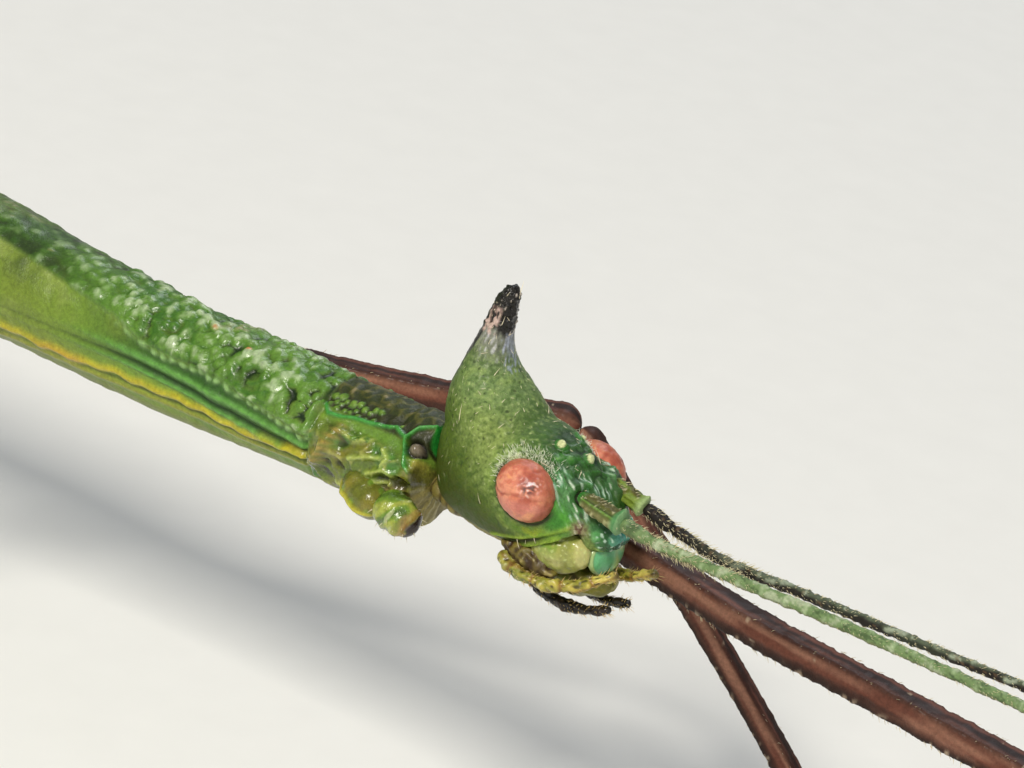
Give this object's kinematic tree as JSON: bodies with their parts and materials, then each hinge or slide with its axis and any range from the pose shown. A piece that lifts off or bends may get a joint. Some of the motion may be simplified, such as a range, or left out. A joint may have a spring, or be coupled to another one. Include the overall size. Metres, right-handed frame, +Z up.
{
  "type": "horned stick insect model",
  "caption": "Life-size still model of a wingless horned stick insect, long ridged green body on slender legs, standing with its feelers and one foreleg stretched ahead.",
  "frame": {"origin": "on the floor, at the middle of the insect's outline seen from above", "axes": "+X the way the insect faces, along its body; +Y its left side; +Z up from the floor"},
  "size_m": [0.1398, 0.0462, 0.0193],
  "materials": {
    "head_green": "smooth, waxy green cuticle with small pits and pale hairs",
    "horn": "grey-green cuticle, black and flaking at the tip",
    "eye_coral": "finely faceted coral-pink compound eye",
    "membrane": "soft tan folded membrane",
    "thorax_green": "rugose, warty green cuticle with yellow side lines",
    "abdomen_green": "finely wrinkled green cuticle",
    "coxa_olive": "olive-yellow cuticle",
    "leg_brown": "ridged pinkish-brown cuticle with dark grooves",
    "leg_green": "ridged olive-green cuticle with brown bands",
    "antenna_green": "green ringed feeler with fine hairs",
    "antenna_dark": "dark ringed feeler with pale nodes and fine hairs",
    "mouth_pale": "smooth pale olive-yellow cuticle",
    "lip_teal": "shiny teal-green cuticle plate",
    "palp_yellow": "yellow bristly palp",
    "palp_dark": "black bristly palp"
  },
  "bodies": {
    "root": {"neck": "membrane", "prothorax": "thorax_green", "mesothorax": "thorax_green", "metathorax": "thorax_green", "abdomen_2": "abdomen_green", "abdomen_3": "abdomen_green", "abdomen_4": "abdomen_green", "abdomen_5": "abdomen_green", "abdomen_6": "abdomen_green", "abdomen_7": "abdomen_green", "abdomen_8": "abdomen_green", "abdomen_9": "abdomen_green", "abdomen_10": "abdomen_green", "operculum": "abdomen_green", "cercus_right": "abdomen_green", "cercus_left": "abdomen_green", "head": "head_green", "eye_right": "eye_coral", "eye_left": "eye_coral", "horn": "horn", "labrum": "lip_teal", "mandible_right": "mouth_pale", "mandible_left": "mouth_pale", "labium": "mouth_pale", "maxillary_palp_right": "palp_yellow", "maxillary_palp_left": "palp_yellow", "labial_palp_right": "palp_dark", "labial_palp_left": "palp_dark", "right_scape": "antenna_green", "right_flagellum_1": "antenna_green", "right_flagellum_2": "antenna_green", "right_flagellum_3": "antenna_green", "left_scape": "antenna_dark", "left_flagellum_1": "antenna_dark", "left_flagellum_2": "antenna_dark", "left_flagellum_3": "antenna_dark", "left_fore_coxa": "coxa_olive", "left_fore_femur": "leg_brown", "left_fore_tibia": "leg_brown", "left_fore_tarsus": "leg_brown", "left_mid_coxa": "coxa_olive", "left_mid_femur": "leg_brown", "left_mid_tibia": "leg_brown", "left_mid_tarsus": "leg_brown", "right_mid_coxa": "coxa_olive", "right_mid_femur": "leg_green", "right_mid_tibia": "leg_green", "right_mid_tarsus": "leg_green", "left_hind_coxa": "coxa_olive", "left_hind_femur": "leg_green", "left_hind_tibia": "leg_green", "left_hind_tarsus": "leg_green", "right_hind_coxa": "coxa_olive", "right_hind_femur": "leg_green", "right_hind_tibia": "leg_green", "right_hind_tarsus": "leg_green", "right_fore_coxa": "coxa_olive", "right_fore_stump": "coxa_olive"}
  },
  "joints": []
}
